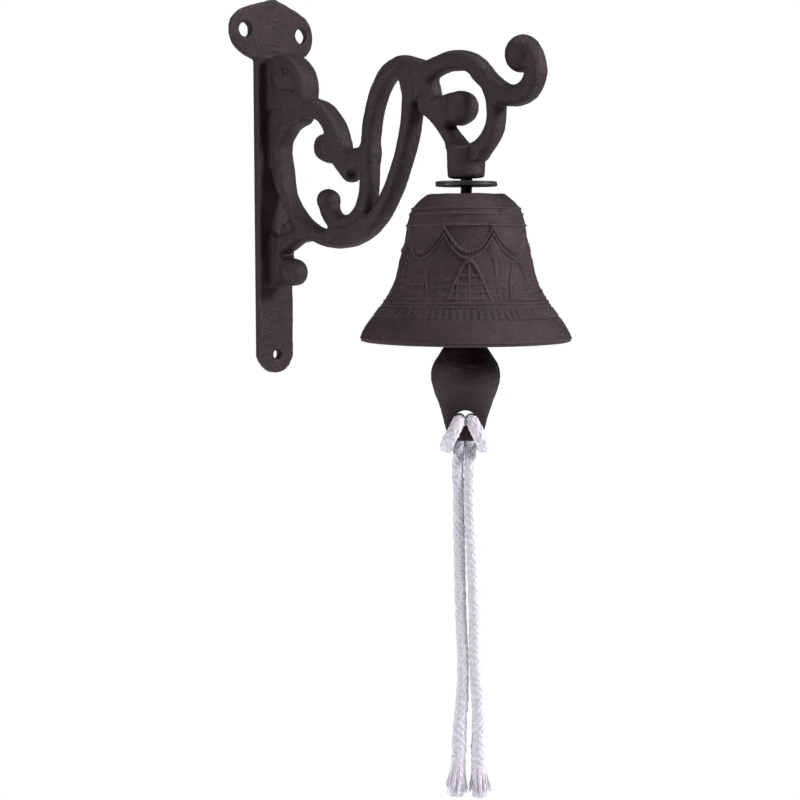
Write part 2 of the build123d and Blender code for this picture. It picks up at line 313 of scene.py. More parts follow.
def black_steel(name, colour, tint):
    """Blackened steel with faint handling marks."""
    material, tree, shader, link, noise_node, ramp, mix, bumps = node_maker(name)
    cloud = noise_node(5 * MM, 4, 0.65)
    fine = noise_node(0.5 * MM, 3, 0.6)
    link(ramp(cloud, (0.35, colour), (0.7, tint)), shader.inputs["Base Color"])
    link(ramp(fine, (0.3, (0.34,) * 3), (0.75, (0.55,) * 3)), shader.inputs["Roughness"])
    shader.inputs["Metallic"].default_value = 0.6
    bumps((fine, 0.05 * MM))
    return material


def cotton(name, shade, white):
    """Undyed cotton yarn: matt, soft, with fine fibres."""
    material, tree, shader, link, noise_node, ramp, mix, bumps = node_maker(name)
    cloud = noise_node(4 * MM, 3, 0.6)
    fibre = noise_node(0.28 * MM, 4, 0.7)
    base = ramp(cloud, (0.3, shade), (0.7, white))
    threads = ramp(fibre, (0.25, (0.93, 0.93, 0.94)), (0.65, (1, 1, 1)))
    link(mix(1.0, base, threads, "MULTIPLY"), shader.inputs["Base Color"])
    shader.inputs["Roughness"].default_value = 0.92
    shader.inputs["Specular IOR Level"].default_value = 0.2
    shader.inputs["Sheen Weight"].default_value = 0.35
    shader.inputs["Sheen Roughness"].default_value = 0.5
    shader.inputs["Subsurface Weight"].default_value = 0.35
    shader.inputs["Subsurface Radius"].default_value = (0.0020, 0.0019, 0.0020)
    bumps((fibre, 0.04 * MM))
    return material


# Each iron's worn colour goes on its convex edges: partly rubbed wear, partly a painted highlight.
BRACKET_IRON = cast_iron("bracket_iron", dark=(0.006, 0.0028, 0.0030), light=(0.019, 0.0095, 0.0100),
                         worn=(0.08, 0.064, 0.068), grain=1.0 * MM)
BELL_IRON = cast_iron("bell_iron", dark=(0.008, 0.0036, 0.0042), light=(0.030, 0.0150, 0.0170),
                      worn=(0.11, 0.090, 0.094), grain=0.9 * MM)
CLAPPER_IRON = cast_iron("clapper_iron", dark=(0.003, 0.0013, 0.0020), light=(0.012, 0.0050, 0.0072),
                         worn=(0.05, 0.040, 0.044), grain=1.0 * MM)
BOLT_STEEL = black_steel("bolt_steel", (0.010, 0.010, 0.013), (0.022, 0.022, 0.028))
WASHER_STEEL = black_steel("washer_steel", (0.022, 0.026, 0.025), (0.050, 0.055, 0.053))
ROPE_COTTON = cotton("rope_cotton", (0.71, 0.68, 0.76), (0.78, 0.75, 0.82))


# ---------------------------------------------------------------- camera

def make_camera():
    data = bpy.data.cameras.new("camera")
    camera = bpy.data.objects.new("camera", data)
    camera.location = (0.6368, -0.5093, -0.1159)
    camera.rotation_euler = (math.radians(90 - 5.79), 0, VIEW_TURN)
    data.lens = 66.59
    data.clip_start = 0.05
    data.clip_end = 50
    bpy.context.scene.collection.objects.link(camera)
    bpy.context.scene.camera = camera


make_camera()


# ---------------------------------------------------------------- pull rope

BIGHT = [
    (0.0, 12.2, -97.0), (4.2, 12.2, -97.1), (7.5, 10.0, -97.2), (8.8, 5.7, -97.2), (8.6, 0.1, -97.1),
    (8.2, -7.4, -93.8), (3.0, -8.2, -83.9), (2.8, 7.6, -83.9), (2.8, 7.4, -98.0),
]
LEGS = {
    "left": [
        (-3.7, 1.6, -108.0), (-2.9, 1.0, -122.0), (-2.7, 1.2, -146.0), (-1.7, 0.4, -180.0),
        (-0.1, 0.9, -212.0), (-2.2, 0.2, -236.0), (-2.6, 0.6, -256.0), (-3.6, 0.2, -270.0),
    ],
    "right": [
        (2.4, 0.6, -108.0), (1.8, -1.0, -124.0), (3.2, -0.5, -146.0), (4.8, -1.0, -176.0),
        (5.1, 0.2, -204.0), (7.4, -0.3, -228.0), (7.0, 0.4, -250.0), (8.0, 0.2, -270.0),
    ],
}
ROPE_STEP = 0.4 * MM
CORE_R = 2.42 * MM
STRANDS_EACH_WAY = 6
STRAND_R = 0.86 * MM
STRAND_PITCH = 21 * MM         # one full turn of a strand
STRAND_AWAY = 1.88 * MM        # from the rope's centre line to a strand's
WEAVE = 0.12 * MM              # how far a strand dips and rises as it crosses the others
LOOSE_LENGTH = 78 * MM         # the braid opens up over this stretch before the end
LOOSE_GROWTH = 0.30
HITCH_LENGTH = 46 * MM         # from the middle of the bight to the hole, where the rope is slack and full
HITCH_GROWTH = 0.17
FRAY_LENGTH = 21 * MM
FRAY_YARNS = 110
GOLDEN_TURN = 2.39996          # spreads the yarns evenly over the rope's section


def route_line(leg):
    """The smooth centre line of one half of the rope, read from its NURBS spline."""
    side = -1 if leg == "left" else 1
    points = [on_line(side * x, y, z) for x, y, z in BIGHT]
    points += [on_line(x, y, z) for x, y, z in LEGS[leg]]
    curve = bpy.data.curves.new("route_" + leg, "CURVE")
    curve.dimensions = "3D"
    curve.resolution_u = 24
    spline = curve.splines.new("NURBS")
    spline.points.add(len(points) - 1)
    for target, point in zip(spline.points, points):
        target.co = (*point, 1)
    spline.order_u = 3
    spline.use_endpoint_u = True
    holder = bpy.data.objects.new("route_" + leg, curve)
    mesh = bpy.data.meshes.new_from_object(holder)
    line = np.array([v.co[:] for v in mesh.vertices])
    bpy.data.objects.remove(holder)
    bpy.data.meshes.remove(mesh)
    length = np.linalg.norm(np.diff(line, axis=0), axis=1).sum()
    return resample(line, int(length / ROPE_STEP))


def looseness(left_to_end):
    """How far the braid has opened, from 0 to 1, by the length left to the rope's end."""
    return step(left_to_end, LOOSE_LENGTH, 6 * MM)


def braid(line, along, half_length, side, up):
    """Strands that wind both ways round the line and pass over and under each other."""
    open_up = looseness(half_length - np.abs(along))
    swell = 1 + LOOSE_GROWTH * open_up
    swell = swell + HITCH_GROWTH * step(np.abs(along), HITCH_LENGTH, HITCH_LENGTH - 8 * MM)
    swell = swell * (1 + 0.035 * noise(np.stack([along, along * 0 + line[0, 2], along * 0], 1), 7 * MM, 3))
    crossings = 2 * STRANDS_EACH_WAY
    parts = []
    for way in (-1, 1):
        for k in range(STRANDS_EACH_WAY):
            start = 2 * math.pi * k / STRANDS_EACH_WAY
            angle = start + way * 2 * math.pi * along / STRAND_PITCH
            weave = np.cos(crossings / 2 * (2 * math.pi * along / STRAND_PITCH) + math.pi * k) * way
            jitter = 0.10 * MM * (1 + 2 * open_up)
            wander = noise(np.stack([along, along * 0 + k * 9.1 * MM, along * 0 + way], 1), 5 * MM, 11)
            radius = (STRAND_AWAY + WEAVE * weave) * swell + jitter * wander
            centre = line + side * (radius * np.cos(angle))[:, None] + up * (radius * np.sin(angle))[:, None]
            thick = STRAND_R * swell * (1 + 0.08 * wander)
            parts.append(tube(centre, thick, 8))
    core = tube(line, CORE_R * swell, 24)
    return merged(parts + [core])


def frayed_end(line, seed):
    """A skirt of loose yarns that fans out of the end of the rope."""
    dice = random.Random(seed)
    side, up = carried_frames(line)
    tail = int(FRAY_LENGTH / ROPE_STEP)
    base, side, up = line[-tail:], side[-tail:], up[-tail:]
    count = len(base)
    along = np.linspace(0, 1, count)
    parts = []
    for i in range(FRAY_YARNS):
        ring = math.sqrt((i + 0.5) / FRAY_YARNS)
        angle = GOLDEN_TURN * i + dice.uniform(-0.3, 0.3)
        reach = ring * 3.1 * MM
        flare = ring * dice.uniform(1.2, 4.6) * MM
        wave = dice.uniform(0.10, 0.45) * MM
        phase = dice.uniform(0, 6.28)
        radius = reach + flare * along ** 2.2 + wave * np.sin(5 * along + phase) * along
        swing = angle + dice.uniform(-0.35, 0.35) * along
        centre = base + side * (radius * np.cos(swing))[:, None] + up * (radius * np.sin(swing))[:, None]
        keep = max(12, int(count * dice.uniform(0.86, 1.0)))
        centre = centre[:keep:2]
        droop = (ring ** 2) * 1.2 * MM * np.linspace(0, 1, len(centre)) ** 2
        centre = centre + np.stack([droop * 0, droop * 0, droop], 1)
        thick = dice.uniform(0.36, 0.52) * MM
        taper = thick * (1 - 0.45 * np.linspace(0, 1, len(centre)) ** 3)
        parts.append(tube(centre, taper, 6, phase))
    return merged(parts)


def make_rope():
    lines = {leg: route_line(leg) for leg in LEGS}
    whole = np.vstack([lines["left"][::-1], lines["right"][1:]])
    side, up = carried_frames(whole)
    middle = len(lines["left"]) - 1
    steps = np.linalg.norm(np.diff(whole, axis=0), axis=1)
    along = np.concatenate([[0], np.cumsum(steps)])
    along -= along[middle]
    for seed, (leg, line) in enumerate(lines.items()):
        part = slice(0, middle + 1) if leg == "left" else slice(middle, None)
        length = abs(along[0] if leg == "left" else along[-1])
        points, faces = braid(whole[part], along[part], length, side[part], up[part])
        rope = new_piece("pull_rope_%s_braid" % leg, points, faces, ROPE_COTTON, "clapper",
                         ["pull_rope_" + leg])
        points, faces = frayed_end(line, seed + 5)
        fray = new_piece("rope_end_%s" % leg, points, faces, ROPE_COTTON, "clapper")


make_rope()


# ---------------------------------------------------------------- castings from the CAD solids

def evaluated(piece):
    """The piece's points and faces with its modifiers applied."""
    bpy.context.view_layer.update()
    mesh = bpy.data.meshes.new_from_object(piece.evaluated_get(bpy.context.evaluated_depsgraph_get()))
    points = np.empty(len(mesh.vertices) * 3)
    mesh.vertices.foreach_get("co", points)
    faces = [list(p.vertices) for p in mesh.polygons]
    edges = np.empty(len(mesh.edges) * 2, np.int64)
    mesh.edges.foreach_get("vertices", edges)
    bpy.data.meshes.remove(mesh)
    return points.reshape(-1, 3), faces, edges.reshape(-1, 2)


def add_remesh(piece, voxel):
    """Rebuilds a piece as one even skin of small squares."""
    remesh = piece.modifiers.new("remesh", "REMESH")
    remesh.mode = "VOXEL"
    remesh.voxel_size = voxel


def fused(points, faces, voxel):
    """One skin round all the given closed shapes."""
    raw = mesh_object("raw", points, faces)
    add_remesh(raw, voxel)
    result = evaluated(raw)
    discard(raw)
    return result


def relaxed(points, edges, strength, rounds):
    """Smooths a mesh by moving each point towards its neighbours' middle."""
    ends = np.concatenate([edges[:, 0], edges[:, 1]])
    others = np.concatenate([edges[:, 1], edges[:, 0]])
    count = np.maximum(np.bincount(ends, minlength=len(points)), 1)
    for _ in range(rounds):
        total = np.stack([np.bincount(ends, points[others, k], len(points)) for k in range(3)], 1)
        points = points + strength[:, None] * (total / count[:, None] - points)
    return points


def normals_of(points, faces):
    """Outward direction at each point of a quad mesh."""
    quads = np.array(faces)
    a, b, c, d = (points[quads[:, k]] for k in range(4))
    across = np.cross(c - a, d - b)
    corners = quads.ravel()
    total = np.stack([np.bincount(corners, np.repeat(across[:, k], 4), len(points)) for k in range(3)], 1)
    return total / np.maximum(np.linalg.norm(total, axis=1), 1e-12)[:, None]


def node_mesh(name):
    """Points and faces of a CAD node."""
    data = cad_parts[name].data
    points = np.empty(len(data.vertices) * 3)
    data.vertices.foreach_get("co", points)
    return points.reshape(-1, 3), [list(p.vertices) for p in data.polygons]


def ball(centre, radii, columns=40, rows=24):
    """A closed ellipsoid; centre in metres, radii along x, y and z in mm."""
    points = []
    for i in range(1, rows):
        level = math.pi * i / rows
        for k in range(columns):
            turn = 2 * math.pi * k / columns
            flat = math.sin(level)
            points.append((flat * math.cos(turn), flat * math.sin(turn), math.cos(level)))
    faces = grid_faces(rows - 1, columns, False)
    top, foot = len(points), len(points) + 1
    points += [(0, 0, 1), (0, 0, -1)]
    last = (rows - 2) * columns
    for k in range(columns):
        following = (k + 1) % columns
        faces.append([top, following, k])
        faces.append([foot, last + k, last + following])
    return np.array(points) * np.array(radii) * MM + np.array(centre), faces


# Swollen ends of the scroll's bars: x, height over the datum, radius in the scroll's plane, half thickness
BUDS = [
    (182.2, 85.4, 8.2, 7.4), (143.7, 63.6, 7.7, 7.4), (48.0, 22.6, 5.8, 6.2), (49.6, 49.8, 6.8, 6.4),
    (12.6, 87.6, 6.4, 7.4), (18.6, -14.8, 7.0, 6.9),
]
# Iron that fills the narrow slits beside the plate, and all but a recess of the hole in the top curl
FILLS = [(15.5, 7.4, 4.2, 4.8), (20.2, 9.6, 4.2, 5.4), (7.6, 71.0, 3.6, 5.2), (19.0, 86.0, 12.0, 5.4)]
BOSS_TOP = 46.0                # heights over the datum, in mm
BOSS_R = 10.5                  # inside this distance the boss keeps its turned shape
LEDGE = (18, 51)               # x and height where the C meets the thicker lobe, and is smoothed over
VOXEL = 0.6 * MM


def lookup(points):
    """A search tree over points, used flat: only x and z count."""
    tree = KDTree(len(points))
    for i, (x, y, z) in enumerate(points):
        tree.insert((x, 0, z), i)
    tree.balance()
    return tree


def nearest(tree, points):
    """Number of the closest point in the tree and the flat distance to it, for each point."""
    found = [tree.find((x, 0, z)) for x, y, z in points]
    return np.array([f[1] for f in found]), np.array([f[2] for f in found])


def rounded_bars(points, out):
    """Turns the scroll's square bars into softly rounded ones, by how far each point is from an edge."""
    is_side = np.abs(out[:, 1]) > 0.7
    rim = (np.abs(points[:, 1]) < 1.2 * MM) & (np.abs(out[:, 1]) < 0.3)
    rim_points, rim_out = points[rim], out[rim]
    sides = points[is_side & (np.abs(points[:, 1]) < 6.6 * MM)]
    which_rim, inward = nearest(lookup(rim_points), points)
    which_side, _ = nearest(lookup(sides), points)
    half = np.abs(sides[which_side, 1])
    away = -rim_out[which_rim] * (1, 0, 1)
    away /= np.maximum(np.linalg.norm(away, axis=1), 1e-9)[:, None]
    x = points[:, 0] / MM
    height = (points[:, 2] - DATUM) / MM
    crisp = step(x, 74, 58) * step(height, 26, 36)              # the lobe and the top curl keep an edge
    depth = (3.7 - 2.3 * crisp) * MM
    power = 2.5 + 0.6 * crisp
    share = np.clip(np.abs(points[:, 1]) / half, 0, 1)
    angle = math.pi / 4 * np.where(is_side, 1 + np.clip(inward / depth, 0, 1), share)
    across = depth * (1 - np.cos(angle) ** (2 / power))
    move = across - np.where(is_side, np.minimum(inward, depth), 0)
    target = points + away * move[:, None]
    target[:, 1] = np.sign(points[:, 1]) * half * np.sin(angle) ** (2 / power)
    on_boss = step(np.abs(points[:, 0] - LINE_X) / MM, BOSS_R + 2.5, BOSS_R)
    on_boss *= step(height, BOSS_TOP + 1.5, BOSS_TOP - 1.5)
    weight = step(x, 6.5, 9.5) * (1 - on_boss)                  # the plate stays flat
    return points + (target - points) * weight[:, None]


def make_bracket():
    points, faces, _ = fused(*node_mesh("wall_bracket"), VOXEL)
    points = rounded_bars(points, normals_of(points, faces))
    parts = [(points, faces)]
    for x, z, radius, half in BUDS + FILLS:
        parts.append(ball(place(x, 0, z), (radius, half, radius)))
    points, faces, edges = fused(*merged(parts), VOXEL)
    plate = step(points[:, 0], 7 * MM, 5 * MM)
    points = relaxed(points, edges, 0.5 * (1 - 0.4 * plate), 5)
    from_ledge = np.linalg.norm((points - np.array(place(LEDGE[0], 0, LEDGE[1])))[:, [0, 2]], axis=1)
    points = relaxed(points, edges, 0.5 * step(from_ledge, 13 * MM, 5 * MM) * (1 - plate), 36)
    out = normals_of(points, faces)
    # Uneven casting skin, with ripples along the plate's ridge
    lumps = 0.26 * noise(points, 9 * MM, 1) + 0.12 * noise(points, 3.2 * MM, 2)
    lumps += 0.07 * noise(points, 1.3 * MM, 3)
    from_ridge = np.abs(points[:, 1] + 1.5 * MM * noise(points, 6 * MM, 6))
    ridge = plate * step(from_ridge, 6 * MM, 2 * MM)
    ripple = np.sin(2 * math.pi * points[:, 2] / (2.6 * MM) + 4.5 * noise(points, 5 * MM, 4))
    lumps += ridge * (0.06 + 0.10 * step(points[:, 2], -60 * MM, -5 * MM)) * ripple
    lumps += plate * 0.10 * noise(points, 1.9 * MM, 5)
    off_wall = step(points[:, 0], 0.5 * MM, 1.5 * MM)          # the back stays flat
    fuller = 0.10 + 0.25 * step(points[:, 0], 8 * MM, 12 * MM)  # gives back what the smoothing took
    points = points + out * ((fuller + lumps) * MM * off_wall)[:, None]
    new_piece("bracket_casting", points, faces, BRACKET_IRON, "bracket", ["wall_bracket"])


make_bracket()


# ---------------------------------------------------------------- bell

BELL_OUTSIDE = [
    (18.4, 23.3), (22.0, 20.4), (24.6, 17.6), (26.0, 15.2), (27.9, 9.0), (29.0, 1.4), (30.6, -6.1),
    (32.4, -13.7), (35.2, -21.2), (40.0, -28.7), (45.6, -36.3), (48.4, -41.0), (50.0, -44.4),
]
BELL_INSIDE = [
    (46.2, -46.0), (43.6, -40.0), (39.0, -34.0), (33.4, -26.0), (29.4, -18.0), (26.4, -8.0), (24.2, 4.0),
    (21.6, 13.0), (16.0, 18.3),
]
CROWN_TOP, CROWN_UNDER, CROWN_HOLE = 23.3, 18.3, 3.5
SWAGS = 8
TEETH = 84
RELIEF = 1.25                  # how much the ornament is raised, times its drawn height


def relief(height, turn):
    """Raised ornament on the outside of the bell, in mm, by height and angle from the view."""
    # Plain rings under the crown
    total = 0.55 * bump(height, 16.6, 0.9) + 0.45 * bump(height, 13.9, 0.8)
    total += 0.55 * bump(height, 8.6, 0.9)
    # Beaded swags with a plain fold under each, and a tail between two of them
    sector = 2 * math.pi / SWAGS
    u = (turn + sector / 2) % sector / sector * 2 - 1           # -1 to 1 across one swag
    a = np.abs(u)
    drop = 7.4 - 11.2 * (1 - a ** 1.9)                          # hanging line of the swag
    beads = 0.75 + 0.25 * np.cos(46 * u)
    below_line = step(height, 9.2, 7.6)
    total += below_line * 0.85 * beads * bump(height - drop, 0, 1.5)
    total += below_line * 0.60 * bump(height - drop + 2.9, 0, 1.25)
    tail = bump(a, 1.0, 0.14 + 0.02 * np.clip(8 - height, 0, 14)) * step(height, -8, -5) * below_line
    total += 0.5 * tail
    # A pointed arch under each swag, with rows and pillars inside it
    arch = -8.0 - 17.5 * np.clip((a - 0.05) / 0.62, 0, 1.6) ** 1.7
    in_arches = step(height, -26.0, -25.0) * step(height, -6.0, -8.0)
    total += 0.7 * in_arches * bump(height - arch, 0, 1.6 + 1.2 * a)
    inside = step(arch - height, 0.8, 1.6) * in_arches
    rows = np.maximum.reduce([bump(height, level, 0.85) for level in (-14.6, -18.4, -21.8, -25.0)])
    total += 0.42 * inside * rows * step(np.abs(a - 0.02), 0.03, 0.07)
    pillar = np.maximum(bump(u, 0, 0.055), bump(a, 0.40, 0.04))
    total += 0.38 * inside * pillar
    # Rows and a pillar between two arches
    outside = step(height - arch, 1.6, 2.6) * in_arches * step(a, 0.62, 0.70)
    side_rows = np.maximum.reduce([bump(height, level, 0.8) for level in (-16.5, -19.8, -23.2)])
    total += 0.34 * outside * np.maximum(side_rows, bump(a, 0.98, 0.05))
    # Rings and a band of teeth over the lip
    total += 0.5 * bump(height, -26.9, 1.0) + 0.35 * bump(height, -28.6, 0.5)
    tooth = step(np.abs((turn * TEETH / (2 * math.pi)) % 1 - 0.5), 0.30, 0.18)
    total += 0.45 * tooth * step(height, -29.6, -30.1) * step(height, -34.0, -33.5)
    total += 0.35 * step(height, -34.3, -34.9)
    return total


def make_bell():
    outside = curve_through(BELL_OUTSIDE, 330)
    top = np.stack([np.linspace(CROWN_HOLE + 0.3, 18.0, 26), np.full(26, CROWN_TOP)], 1)
    lip = curve_through([(50.0, -44.6), (49.9, -45.6), (49.0, -46.0), (47.4, -46.0)], 12)
    inside = curve_through(BELL_INSIDE, 90)
    under = np.stack([np.linspace(15.4, CROWN_HOLE + 0.3, 20), np.full(20, CROWN_UNDER)], 1)
    outline = np.vstack([top, outside, lip, inside, under])
    count = len(top) + len(outside)
    columns = 1008

    def reshape(radius, height, turn):
        shape = relief(height[:count], turn[:count] - VIEW_TURN + math.pi / 2)
        fade = step(height[:count], 21.5, 19.5)
        points = np.stack([radius * np.cos(turn), radius * np.sin(turn), height], 2).reshape(-1, 3)
        worn = 0.85 + 0.4 * noise(points, 4.5, 24).reshape(radius.shape)[:count]
        radius = radius.copy()
        radius[:count] += RELIEF * shape * fade * worn
        cast = 0.16 * noise(points, 8, 21) + 0.10 * noise(points, 2.6, 22) + 0.06 * noise(points, 1.1, 23)
        cast = cast.reshape(radius.shape)
        on_top = height > CROWN_TOP - 0.4
        flat = on_top | (np.abs(height - CROWN_UNDER) < 0.3)
        radius = radius + np.where(flat, 0, cast)
        height = height + np.where(on_top, cast - 0.1, 0)
        return radius, height

    points = turned_loop(outline, columns, reshape)
    faces = [face[::-1] for face in grid_faces(len(outline), columns, True)]
    new_piece("bell_casting", points, faces, BELL_IRON, "bell", ["bell"])


make_bell()


# ---------------------------------------------------------------- clapper

# Height over the datum, half width, half depth and squareness of the clapper's sections, in mm
CLAPPER_SECTIONS = [
    (-21.6, 3.6, 3.6, 2.0), (-27.0, 3.8, 3.8, 2.0), (-32.0, 4.1, 4.1, 2.0), (-39.0, 5.0, 5.0, 2.0),
    (-44.5, 7.2, 7.2, 2.0), (-49.0, 10.4, 10.4, 2.0), (-53.5, 13.3, 13.2, 2.0), (-57.5, 15.7, 15.5, 2.0),
    (-61.5, 16.5, 16.2, 2.0), (-65.5, 16.3, 15.4, 2.05), (-69.5, 15.3, 13.0, 2.15), (-73.5, 13.8, 9.8, 2.3),
    (-77.5, 12.3, 6.8, 2.6), (-81.5, 11.2, 4.9, 3.2), (-85.6, 10.2, 3.9, 4.0), (-89.0, 9.2, 3.6, 4.2),
    (-91.4, 7.9, 3.5, 4.0), (-93.2, 6.2, 3.3, 3.6), (-94.1, 4.6, 2.8, 3.0),
]
CLAPPER_VOXEL = 0.5 * MM
EYE_WIRE_R = 2.0               # wire of the clapper's eye and of the bolt's, in mm
CLAPPER_EYE_R = 5.5
BOLT_EYE_R = 6.0


def squared_ring(z, half_width, half_depth, power, sides):
    """A ring between an ellipse and a rectangle, on the hanging line."""
    ring = []
    for k in range(sides):
        t = 2 * math.pi * k / sides
        c, s = math.cos(t), math.sin(t)
        x = half_width * math.copysign(abs(c) ** (2 / power), c)
        y = half_depth * math.copysign(abs(s) ** (2 / power), s)
        ring.append(on_line(x, y, z)[:])
    return ring


def make_clapper():
    sides = 72
    sections = curve_through(CLAPPER_SECTIONS, 110)
    points = np.array([p for row in sections for p in squared_ring(*row, sides)])
    faces = grid_faces(len(sections), sides, False)
    faces.append(list(range(sides - 1, -1, -1)))
    faces.append(list(range(len(points) - sides, len(points))))
    faces = [face[::-1] for face in faces]
    eye_z = height_of("clapper")[1] - EYE_WIRE_R - CLAPPER_EYE_R
    eye = wire_eye(CLAPPER_EYE_R, eye_z, 72, 20)
    raw = mesh_object("raw", *merged([(points, faces), eye]))
    hole = rope_hole()
    add_remesh(raw, CLAPPER_VOXEL)
    cut = raw.modifiers.new("hole", "BOOLEAN")
    cut.operation = "DIFFERENCE"
    cut.object = hole
    add_remesh(raw, CLAPPER_VOXEL)
    points, faces, edges = evaluated(raw)
    discard(raw)
    discard(hole)
    points = relaxed(points, edges, np.full(len(points), 0.5), 8)
    out = normals_of(points, faces)
    z = points[:, 2]
    # Lumps and level streaks, which fade out towards the eye
    streaks = noise(points * np.array([0.35, 0.35, 1.0]), 1.6 * MM, 31)
    lumps = 0.20 * noise(points, 7 * MM, 32) + 0.16 * streaks + 0.06 * noise(points, 1.1 * MM, 33)
    lumps *= step(z, DATUM - 24 * MM, DATUM - 40 * MM)
    points = points + out * (lumps * MM)[:, None]
    new_piece("clapper_casting", points, faces, CLAPPER_IRON, "clapper", ["clapper"])


def wire_loop(path, radius, sides):
    """A closed ring of round wire along a closed flat path."""
    middle = path.mean(0)
    ahead = np.roll(path, -1, 0) - np.roll(path, 1, 0)
    ahead /= np.linalg.norm(ahead, axis=1)[:, None]
    out = path - middle
    out -= ahead * (out * ahead).sum(1)[:, None]
    out /= np.linalg.norm(out, axis=1)[:, None]
    flat = np.cross(ahead, out)
    angles = np.linspace(0, 2 * math.pi, sides, endpoint=False)
    rim = out[:, None] * np.cos(angles)[None, :, None] + flat[:, None] * np.sin(angles)[None, :, None]
    points = (path[:, None] + rim * radius).reshape(-1, 3)
    return points, grid_faces(len(path), sides, True)


def wire_eye(radius, centre_z, points, sides):
    """A ring of wire that stands on the hanging line, in the plane of the clapper's tab."""
    path = [on_line(radius * math.cos(t), 0, centre_z + radius * math.sin(t))[:]
            for t in np.linspace(0, 2 * math.pi, points + 1)[:-1]]
    return wire_loop(np.array(path), EYE_WIRE_R * MM, sides)


def rope_hole():
    """The arched hole through the clapper's tab, as a cutting block."""
    half, top, foot = 5.5, -79.0, -87.2
    outline = [(half * math.cos(t), top - half + half * math.sin(t)) for t in np.linspace(0, math.pi, 25)]
    outline += [(-half, foot), (half, foot)]
    count = len(outline)
    points = [on_line(x, -12, z)[:] for x, z in outline] + [on_line(x, 12, z)[:] for x, z in outline]
    faces = [[k, k + count, (k + 1) % count + count, (k + 1) % count] for k in range(count)]
    faces += [list(range(count)), list(range(2 * count - 1, count - 1, -1))]
    return mesh_object("hole", points, faces)


make_clapper()


# ---------------------------------------------------------------- bolt, washers, nuts and link

THREAD_PITCH = 0.9
THREAD_DEPTH = 0.42
SHANK_R = 3.1                  # over the washers
THREAD_R = 2.9                 # from the washers down
BORE = 2.95                    # hole of each washer and nut


def make_bolt():
    """Threaded bolt from inside the boss down to its eye."""
    washer_top = height_of("upper_washer")[1]
    low, high = height_of("hanger_eye_bolt")
    eye_z = low + EYE_WIRE_R + BOLT_EYE_R
    foot = eye_z + BOLT_EYE_R
    levels = np.arange(high, foot, -0.09)
    columns = 40
    turn = np.linspace(0, 2 * math.pi, columns, endpoint=False)[None, :]
    height = levels[:, None]
    core = np.where(height > washer_top, SHANK_R, THREAD_R)
    wave = (height / THREAD_PITCH + turn / (2 * math.pi)) % 1
    tooth = 1 - np.abs(2 * wave - 1)
    radius = core - THREAD_DEPTH * (1 - tooth) * step(height, foot + 0.5, foot + 2.5)
    x = LINE_X + radius * np.cos(turn) * MM
    y = radius * np.sin(turn) * MM
    z = DATUM + np.broadcast_to(height, radius.shape) * MM
    points = np.stack([x, y, z], 2).reshape(-1, 3)
    faces = [face[::-1] for face in grid_faces(len(levels), columns, False)]
    faces.append(list(range(columns)))
    faces.append(list(range(len(points) - 1, len(points) - columns - 1, -1)))
    points, faces = merged([(points, faces), wire_eye(BOLT_EYE_R, eye_z, 96, 24)])
    new_piece("threaded_eye_bolt", points, faces, BOLT_STEEL, "bracket", ["hanger_eye_bolt"])


def rounded_ring(inner, outer, low, high, corner):
    """Outline of a washer: a rectangle with rounded corners, as (radius, z)."""
    outline = []
    for cx, cz, start in ((outer - corner, high - corner, 90), (outer - corner, low + corner, 0),
                          (inner + corner, low + corner, -90), (inner + corner, high - corner, -180)):
        for k in range(6):
            t = math.radians(start - 18 * k)
            outline.append((cx + corner * math.cos(t), cz + corner * math.sin(t)))
    return outline


def make_washer(node, outer, warp, seed):
    """Thin pressed washer, a little warped and rough at its edge."""
    low, high = height_of(node)
    outline = rounded_ring(BORE, outer, low, high, 0.24 * (high - low))
    steps = np.array(outline)
    fine = []
    for a, b in zip(steps, np.roll(steps, -1, 0)):
        pieces = max(1, int(np.linalg.norm(b - a) / 0.8))
        fine.extend(a + (b - a) * k / pieces for k in range(pieces))

    def reshape(radius, height, turn):
        points = np.stack([radius * np.cos(turn), radius * np.sin(turn), height * 0], 2).reshape(-1, 3)
        bend = noise(points, 9, seed).reshape(radius.shape) * (radius / outer) ** 2
        edge = step(radius, outer * 0.8, outer) * noise(points, 2.2, seed + 1).reshape(radius.shape)
        return radius + 0.12 * edge, height + warp * bend

    points = turned_loop(fine, 180, reshape)
    faces = [face[::-1] for face in grid_faces(len(fine), 180, True)]
    new_piece(node + "_pressed", points, faces, WASHER_STEEL, "bracket", [node])


def make_nut(node, flats):
    """Hexagon nut with chamfered corners."""
    low, high = height_of(node)
    middle = (low + high) / 2
    half = flats / 2
    face_r = half * 0.97
    corner = half / math.cos(math.pi / 6)
    outline = [(BORE + 0.25, high), (face_r, high), (corner, high - 0.5), (corner, middle),
               (corner, low + 0.5), (face_r, low), (BORE + 0.25, low), (BORE, low + 0.3), (BORE, high - 0.3)]

    def reshape(radius, height, turn):
        local = (turn - HANG_TURN + math.pi / 6) % (math.pi / 3) - math.pi / 6
        hexagon = half / np.cos(local)
        clipped = np.minimum(radius, hexagon)
        lift = np.where(radius >= corner - 0.01, (corner - clipped) / (corner - face_r) * 0.5, 0)
        above_middle = height - middle
        toward = np.where(above_middle > 0, 1, -1) * (np.abs(above_middle) > 0.1)
        return clipped, height + toward * lift

    points = turned_loop(outline, 144, reshape)
    faces = [face[::-1] for face in grid_faces(len(outline), 144, True)]
    new_piece(node + "_hexagon", points, faces, BOLT_STEEL, "bracket", [node])


make_bolt()
make_washer("upper_washer", 14.6, 0.16, 41)
make_washer("lower_washer", 14.6, 0.16, 43)
make_washer("crown_seat_washer", 9.0, 0.05, 45)
make_nut("support_nut", 10.0)
make_nut("lock_nut", 10.0)


